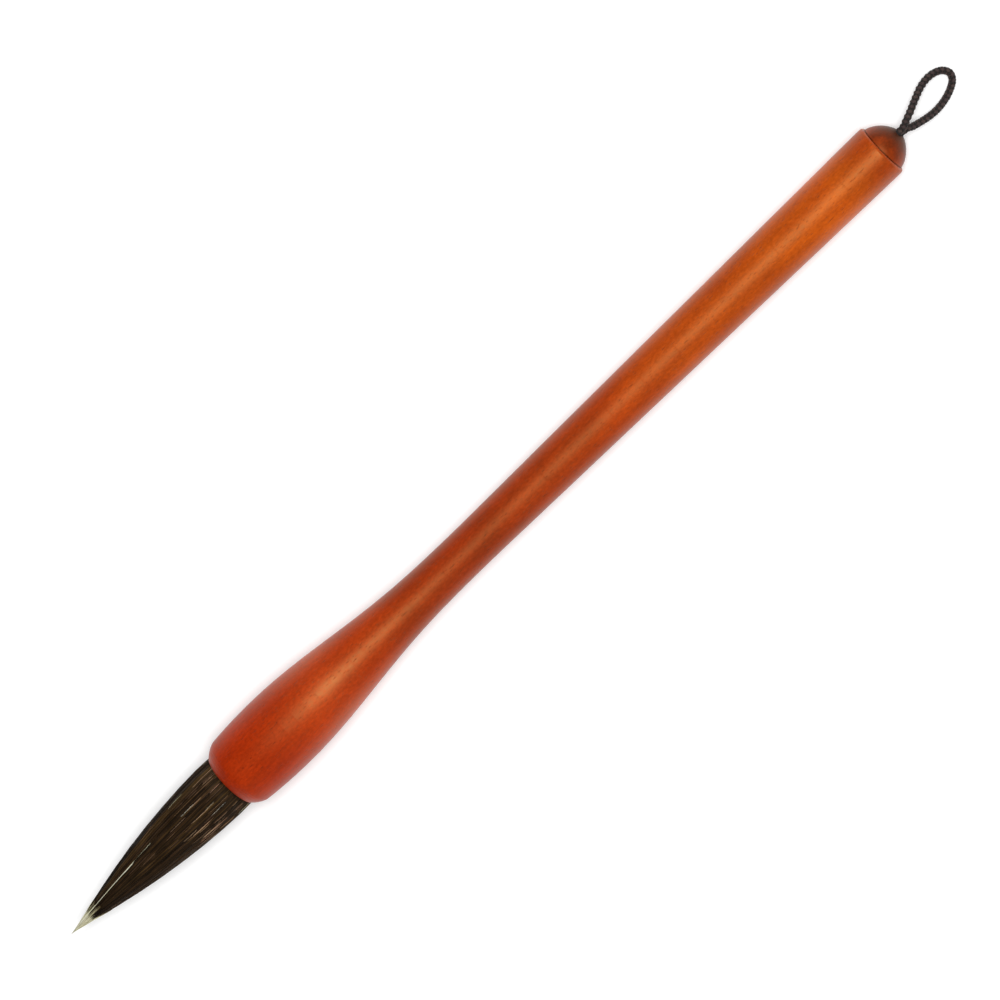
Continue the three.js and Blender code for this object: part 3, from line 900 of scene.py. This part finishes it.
def lay_hair(name, finish, angles, starts, ends, deep, width, chance, up_for=None, pales=None):
    """
    Lays one hair at each angle round the tuft. deep is how far under the outline each lies. A hair with
    an up_for of (middle, half) rows comes up to the outline round that distance and dives elsewhere.
    Between the two distances of pales, its tone rises from nothing to its own.
    """
    count = len(angles)
    u = hair_points[:, 0][None, :]
    out = starts[:, None] + (ends - starts)[:, None] * u
    lean = chance.normal(0, LEAN, count)[:, None] * np.sin(np.pi * u)
    clump = LEAN * (np.sin(9 * angles + 1.3)[:, None] * u + 2 / 3 * np.sin(23 * angles)[:, None] * u**2)
    angle = angles[:, None] + lean + clump
    rise = RISE * np.sin(2 * np.pi * (chance.uniform(0.6, 1.6, count)[:, None] * u
                                      + chance.uniform(0, 1, count)[:, None]))
    under = deep[:, None] + rise
    if up_for is not None:
        away = np.clip(np.abs(out - up_for[:, :1]) / up_for[:, 1:], 0, 1)
        under = under + DIVE * away**2 * (3 - 2 * away)
    radius = np.maximum(tuft_radius(out) - under, AXIS_ROOM)
    thin = width[:, None] * np.sqrt(np.clip(1 - u**4, 0.02, 1)) * (0.55 + 0.45 * (1 - u))
    spin = chance.uniform(0, 2 * np.pi, count)[:, None]
    flat_y = hair_points[:, 1] * np.cos(spin) - hair_points[:, 2] * np.sin(spin)
    flat_z = hair_points[:, 1] * np.sin(spin) + hair_points[:, 2] * np.cos(spin)
    radius = radius + thin * flat_z
    side = thin * flat_y
    places = np.stack([-out, radius * np.cos(angle) - side * np.sin(angle),
                       radius * np.sin(angle) + side * np.cos(angle)], axis=-1).reshape(-1, 3)
    turn = np.array(to_world.to_3x3())
    places = places @ turn.T + np.array(to_world.translation)
    step = len(hair_points)
    faces = [tuple(i + h * step for i in face) for h in range(count) for face in hair_faces]
    mesh = bpy.data.meshes.new(name)
    mesh.from_pydata(places.tolist(), [], faces)
    tone = np.repeat(lock_tones(angles, chance), step)
    if pales is not None:
        tone = tone * np.clip((out.ravel() - pales[0]) / (pales[1] - pales[0]), 0, 1)
    mesh.attributes.new("tone", "FLOAT", "POINT").data.foreach_set("value", tone)
    mesh.shade_smooth()
    mesh.materials.append(finish)
    piece = bpy.data.objects.new(name, mesh)
    bpy.context.scene.collection.objects.link(piece)
    flexes(piece)
    print(f"{name}: {count} hairs, {len(faces)} faces")


def spread(count, chance):
    """Angles round the tuft that cover it evenly, with no pattern."""
    golden = math.pi * (3 - math.sqrt(5))
    return (np.arange(count) * golden + chance.normal(0, 0.01, count)) % (2 * math.pi)


chance = np.random.default_rng(5)
n = 2600
lay_hair("coat_hairs_dark", dark_hair, spread(n, chance), np.full(n, ROOT),
         coat_length + 0.5 * MM - chance.gamma(1.6, 1.9 * MM, n), chance.uniform(0.06, 0.22, n) * MM,
         chance.uniform(0.09, 0.15, n) * MM, chance)
n = 1300
lay_hair("coat_hairs_brown", brown_hair, spread(n, chance), np.full(n, ROOT),
         coat_length - chance.gamma(2, 2.4 * MM, n), chance.uniform(0.1, 0.28, n) * MM,
         chance.uniform(0.08, 0.13, n) * MM, chance)

# %% Hairs that show along a short stretch of the coat, and dive under it at both ends
TAN_UP_TO = 46 * MM
CLUSTER_AT, CLUSTER_WIDE = 2.3, 0.2  # where some gold hairs lie together, in radians round the tuft
CLUSTER_SHARE = 0.4


def showing(name, finish, angles, middles, halves, width, chance):
    rows = np.column_stack([middles, halves])
    lay_hair(name, finish, angles, middles - halves, middles + halves,
             chance.uniform(-0.04, 0.04, len(angles)) * MM, width, chance, rows)


n = 150
showing("coat_hairs_tan", tan_hair, chance.uniform(0, 2 * math.pi, n),
        chance.gamma(2, 10 * MM, n).clip(0, TAN_UP_TO), chance.uniform(4, 11, n) * MM,
        chance.uniform(0.05, 0.075, n) * MM, chance)
n = 46
clustered = np.where(chance.random(n) < CLUSTER_SHARE, chance.normal(CLUSTER_AT, CLUSTER_WIDE, n),
                     chance.uniform(0, 2 * math.pi, n))
showing("coat_hairs_gold", gold_hair, clustered, chance.uniform(-2, 18, n) * MM,
        chance.uniform(6, 14, n) * MM, chance.uniform(0.045, 0.075, n) * MM, chance)
n = 20
showing("coat_hairs_pale", pale_hair, chance.uniform(0, 2 * math.pi, n), chance.uniform(0, 40, n) * MM,
        chance.uniform(5, 12, n) * MM, chance.uniform(0.04, 0.06, n) * MM, chance)

# %% The life hairs of the tip, some of which come up early between the coat hairs
PALES = 49 * MM, 55 * MM  # they turn from brown to pale over this stretch
OVER_POINT = 0.8 * MM  # the longest hairs reach this far past the body's point
LIFE_FROM = 34 * MM
LIFE_SHOWS = 61 * MM, 13 * MM  # the middle and half of the stretch where they lie on the outline
n = 420
lay_hair("life_hairs", pale_hair, spread(n, chance), np.full(n, LIFE_FROM),
         tuft_length + OVER_POINT - chance.gamma(1.4, 0.9 * MM, n), chance.uniform(0.02, 0.5, n) * MM,
         chance.uniform(0.07, 0.11, n) * MM, chance, np.tile(LIFE_SHOWS, (n, 1)), PALES)
n = 46
lay_hair("early_life_hairs", pale_hair, chance.uniform(0, 2 * math.pi, n),
         coat_length - chance.uniform(1, 6, n) * MM, tuft_length - chance.gamma(1.4, 0.9 * MM, n),
         chance.uniform(-0.04, 0.06, n) * MM, chance.uniform(0.06, 0.1, n) * MM, chance, pales=PALES)

# %% One long pale hair that lies over the coat to the tip
LONG_HAIR_AT = math.radians(66)  # round the tuft, from its side
LONG_HAIR_FROM, LONG_HAIR_TO = 26 * MM, tuft_length - 2 * MM
LONG_HAIR_PROUD, LONG_HAIR_RADIUS = 0.12 * MM, 0.13 * MM
LONG_HAIR_SHOWS = 48 * MM, 34 * MM
lay_hair("long_pale_hair", pale_hair, np.array([LONG_HAIR_AT]), np.array([LONG_HAIR_FROM]),
         np.array([LONG_HAIR_TO]), np.array([-LONG_HAIR_PROUD]), np.array([LONG_HAIR_RADIUS]), chance,
         np.array([LONG_HAIR_SHOWS]))

# %% [markdown]
# ## Hidden pieces
#
# The bindings, the sealed root, the glue and the knot can't be seen when the brush is whole, but they
# show when it is taken apart. The imported shapes are right, so they only get their finishes.

# %% Thread, rosin, glue and the knot
def plain_with_grain(name, tones, scale, roughness, **settings):
    """A finish for a small hidden piece: two tones in fine grain, with a little relief."""
    finish, tree, surface = new_finish(name, Roughness=roughness, **settings)
    grain = noise(tree, brush_place(tree), scale, 3)
    tree.links.new(ramp(tree, grain, [(0.3, tones[0]), (0.7, tones[1])]), surface.inputs["Base Color"])
    raised(tree, surface, grain, 0.05 * MM)
    return finish


hidden = {
    "thread": (plain_with_grain("silk_thread", ("CFC6B0", "EDE6D6"), 6, 0.75),
               ("core_binding", "root_binding_front", "root_binding_rear")),
    "rosin": (plain_with_grain("rosin", ("1E0F06", "3A2010"), 1.2, 0.25), ("root_seal",)),
    "glue": (plain_with_grain("glue", ("B8964E", "D6B878"), 0.8, 0.22), ("socket_glue",)),
    "cord": (plain_with_grain("knot_yarn", ("241A16", "3C2C28"), 3, 0.85), ("loop_knot",)),
}
for slot, (finish, names) in hidden.items():
    for name in names:
        packed = frame["nodes"][name]
        for material_slot in packed.material_slots:
            material_slot.link = "OBJECT"
            material_slot.material = finish
    print(slot, "on", ", ".join(names))

# %% [markdown]
# ## The end
#
# The last cell brings the scene up to date.

# %% The scene brought up to date
bpy.context.view_layer.update()
